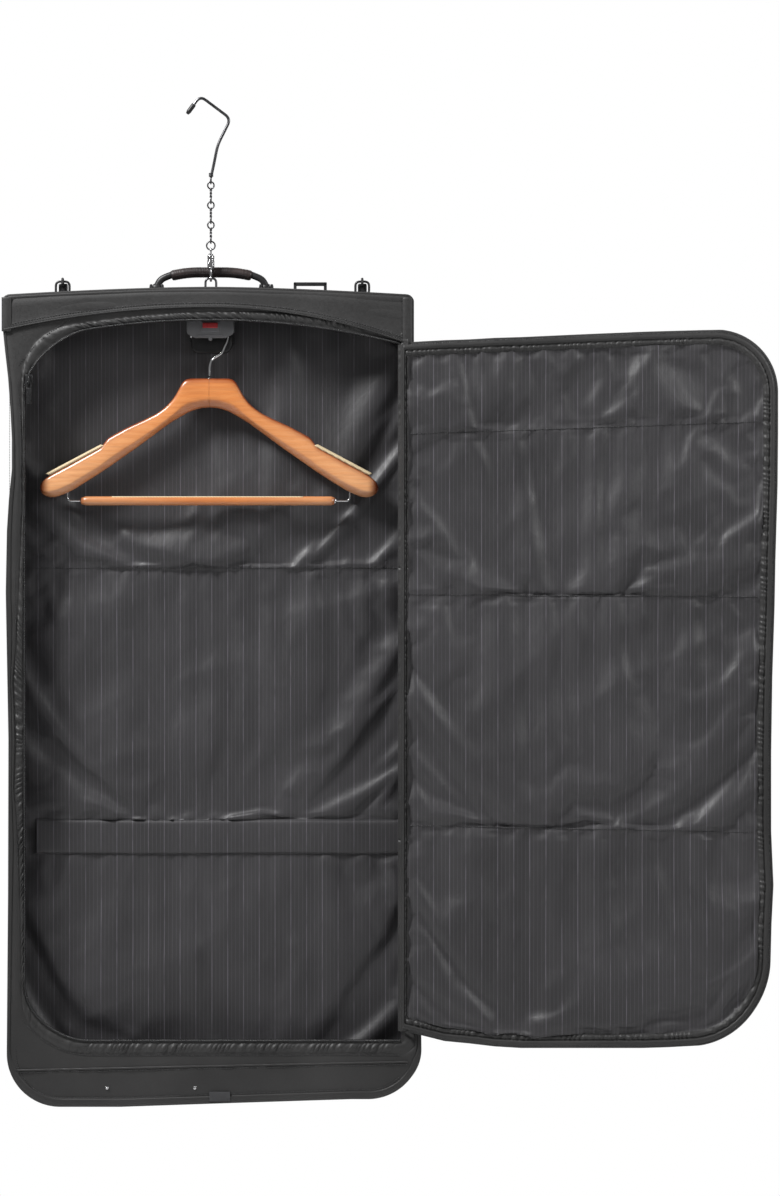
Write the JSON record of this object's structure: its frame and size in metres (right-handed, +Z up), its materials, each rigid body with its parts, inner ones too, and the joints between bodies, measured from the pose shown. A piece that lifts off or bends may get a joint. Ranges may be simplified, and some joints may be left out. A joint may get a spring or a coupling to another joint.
{
  "type": "garment bag",
  "caption": "Tri-fold garment bag hanging open from a chain hook, its zip lid swung to the right, with a suit hanger clamped inside.",
  "frame": {"origin": "inner top of the steel eye on the bag's top edge, on the bag's centre line", "axes": "+Z up along the hanging bag, +X to the right towards the open lid, -Y out of the bag's front"},
  "size_m": [1.0055, 0.0905, 1.318],
  "materials": {
    "shell_fabric": "matt black woven nylon",
    "lining_satin": "charcoal satin with fine woven pinstripes",
    "webbing": "woven black webbing",
    "label": "plain woven label without lettering",
    "zip_plastic": "black nylon coil and slider",
    "black_plastic": "moulded black plastic",
    "grey_plastic": "moulded grey plastic",
    "red_plastic": "red plastic",
    "grip_leather": "dark padded leather grip with a seam",
    "hanger_wood": "glossy varnished orange-brown wood",
    "inlay": "pale ribbed anti-slip inlay",
    "bright_steel": "polished plated steel",
    "dark_steel": "dark plated steel wire",
    "frame_steel": "plain steel bar"
  },
  "bodies": {
    "upper": {"frame_bar": "frame_steel", "hang_bail": "dark_steel", "header_top": "shell_fabric", "back_panel_upper": "shell_fabric", "side_gussets_upper": "shell_fabric", "front_rim_upper": "shell_fabric", "lining_upper": "lining_satin", "zip_coil_upper": "zip_plastic", "handle_tabs": "black_plastic", "clamp_backplate": "grey_plastic", "clamp_rod": "bright_steel", "strap_tabs": "webbing", "d_rings": "black_plastic"},
    "middle": {"back_panel_middle": "shell_fabric", "side_gussets_middle": "shell_fabric", "front_rim_middle": "shell_fabric", "lining_middle": "lining_satin", "zip_coil_middle": "zip_plastic", "fold_band_top": "lining_satin"},
    "lower": {"back_panel_lower": "shell_fabric", "gusset_lower": "shell_fabric", "front_rim_lower": "shell_fabric", "lining_lower": "lining_satin", "zip_coil_lower": "zip_plastic", "fold_band_bottom": "lining_satin", "bottom_label": "label", "bottom_snaps": "black_plastic"},
    "lid_upper": {"lid_panel_upper": "shell_fabric", "lid_lining_upper": "lining_satin"},
    "lid_middle": {"lid_panel_middle": "shell_fabric", "lid_lining_middle": "lining_satin"},
    "lid_lower": {"lid_panel_lower": "shell_fabric", "lid_lining_lower": "lining_satin"},
    "handle": {"handle_strap": "black_plastic", "handle_grip": "grip_leather"},
    "snap": {"snap_body": "bright_steel"},
    "trigger": {"snap_trigger": "bright_steel"},
    "swivel": {"snap_eye": "bright_steel"},
    "round_ring": {"ring": "dark_steel"},
    "chain_link_3": {"link_3": "dark_steel"},
    "chain_link_2": {"link_2": "dark_steel"},
    "chain_link_1": {"link_1": "dark_steel"},
    "hook": {"hook_wire": "dark_steel", "hook_sleeve": "black_plastic"},
    "cover": {"clamp_cover": "grey_plastic"},
    "button": {"lock_button": "red_plastic"},
    "hanger_neck": {"hanger_hook": "bright_steel"},
    "hanger": {"hanger_arm_left": "hanger_wood", "hanger_arm_right": "hanger_wood", "hanger_inlays": "inlay", "hanger_catch": "bright_steel"},
    "bar": {"trouser_bar": "hanger_wood", "trouser_bar_wire": "bright_steel"},
    "slider": {"zip_slider": "zip_plastic"},
    "pull": {"zip_pull": "zip_plastic"},
    "strap": {"strap_webbing": "webbing", "strap_adjuster": "black_plastic", "strap_snaps": "black_plastic"}
  },
  "joints": [
    {"name": "upper_fold", "type": "hinge", "parent": "upper", "child": "middle", "pos_m": [0, 0.042, -0.378], "axis": [1, 0, 0], "range_deg": [0, 180]},
    {"name": "lower_fold", "type": "hinge", "parent": "middle", "child": "lower", "pos_m": [0, -0.047, -0.732], "axis": [-1, 0, 0], "range_deg": [0, 180]},
    {"name": "lid_hinge", "type": "hinge", "parent": "upper", "child": "lid_upper", "pos_m": [0.25, -0.031, -0.22], "axis": [0, 0, -1], "range_deg": [0, 180]},
    {"name": "lid_hinge_middle", "type": "hinge", "parent": "middle", "child": "lid_middle", "pos_m": [0.25, -0.031, -0.555], "axis": [0, 0, -1], "range_deg": [0, 180]},
    {"name": "lid_hinge_lower", "type": "hinge", "parent": "lower", "child": "lid_lower", "pos_m": [0.25, -0.031, -0.86], "axis": [0, 0, -1], "range_deg": [0, 180]},
    {"name": "handle_flop", "type": "hinge", "parent": "upper", "child": "handle", "pos_m": [0, 0.014, -0.0095], "axis": [-1, 0, 0], "range_deg": [0, 70]},
    {"name": "snap_swing", "type": "hinge", "parent": "upper", "child": "snap", "pos_m": [0, 0, 0.0015], "axis": [1, 0, 0], "range_deg": [0, 60]},
    {"name": "trigger_slide", "type": "slide", "parent": "snap", "child": "trigger", "axis": [0, 0, 1], "range_m": [0, 0.006], "stiffness_N_per_m": 60},
    {"name": "swivel_turn", "type": "hinge", "parent": "snap", "child": "swivel", "pos_m": [0, 0, 0.033], "axis": [0, 0, 1], "continuous": true},
    {"name": "ring_swing", "type": "hinge", "parent": "swivel", "child": "round_ring", "pos_m": [0, 0, 0.04115], "axis": [0, 1, 0], "range_deg": [-35, 35]},
    {"name": "link_3_swing", "type": "hinge", "parent": "round_ring", "child": "chain_link_3", "pos_m": [0, 0, 0.04985], "axis": [1, 0, 0], "range_deg": [-35, 35]},
    {"name": "link_2_swing", "type": "hinge", "parent": "chain_link_3", "child": "chain_link_2", "pos_m": [0, 0, 0.07355], "axis": [0, -1, 0], "range_deg": [-35, 35]},
    {"name": "link_1_swing", "type": "hinge", "parent": "chain_link_2", "child": "chain_link_1", "pos_m": [0, 0, 0.10185], "axis": [-1, 0, 0], "range_deg": [-35, 35]},
    {"name": "hook_swing", "type": "hinge", "parent": "chain_link_1", "child": "hook", "pos_m": [0, 0, 0.12555], "axis": [0, 1, 0], "range_deg": [-35, 35]},
    {"name": "cover_hinge", "type": "hinge", "parent": "upper", "child": "cover", "pos_m": [0, -0.006, -0.044], "axis": [1, 0, 0], "range_deg": [-20, 0]},
    {"name": "lock_button_slide", "type": "slide", "parent": "cover", "child": "button", "axis": [0, 0, -1], "range_m": [0, 0.003], "stiffness_N_per_m": 60},
    {"name": "hanger_swing", "type": "hinge", "parent": "upper", "child": "hanger_neck", "pos_m": [-0.002, 0.002, -0.056], "axis": [0, 1, 0], "range_deg": [-5, 5]},
    {"name": "hanger_turn", "type": "hinge", "parent": "hanger_neck", "child": "hanger", "pos_m": [-0.002, 0.002, -0.15], "axis": [0, 0, 1], "range_deg": [-2, 2]},
    {"name": "trouser_bar_hinge", "type": "hinge", "parent": "hanger", "child": "bar", "pos_m": [0.182, 0.002, -0.283], "axis": [0, 1, 0], "range_deg": [-70, 0]},
    {"name": "zip_travel", "type": "slide", "parent": "upper", "child": "slider", "axis": [0, 0, -1], "range_m": [0, 0.2]},
    {"name": "zip_pull_swing", "type": "hinge", "parent": "slider", "child": "pull", "pos_m": [-0.234, -0.0381, -0.1365], "axis": [-1, 0, 0], "range_deg": [0, 165]},
    {"name": "strap_swing", "type": "hinge", "parent": "upper", "child": "strap", "pos_m": [0, 0.0365, 0.001], "axis": [-1, 0, 0], "range_deg": [-60, 0]}
  ],
  "couplings": [
    {"joint": "lid_hinge_middle", "follows": "lid_hinge", "ratio": 1},
    {"joint": "lid_hinge_lower", "follows": "lid_hinge", "ratio": 1}
  ]
}
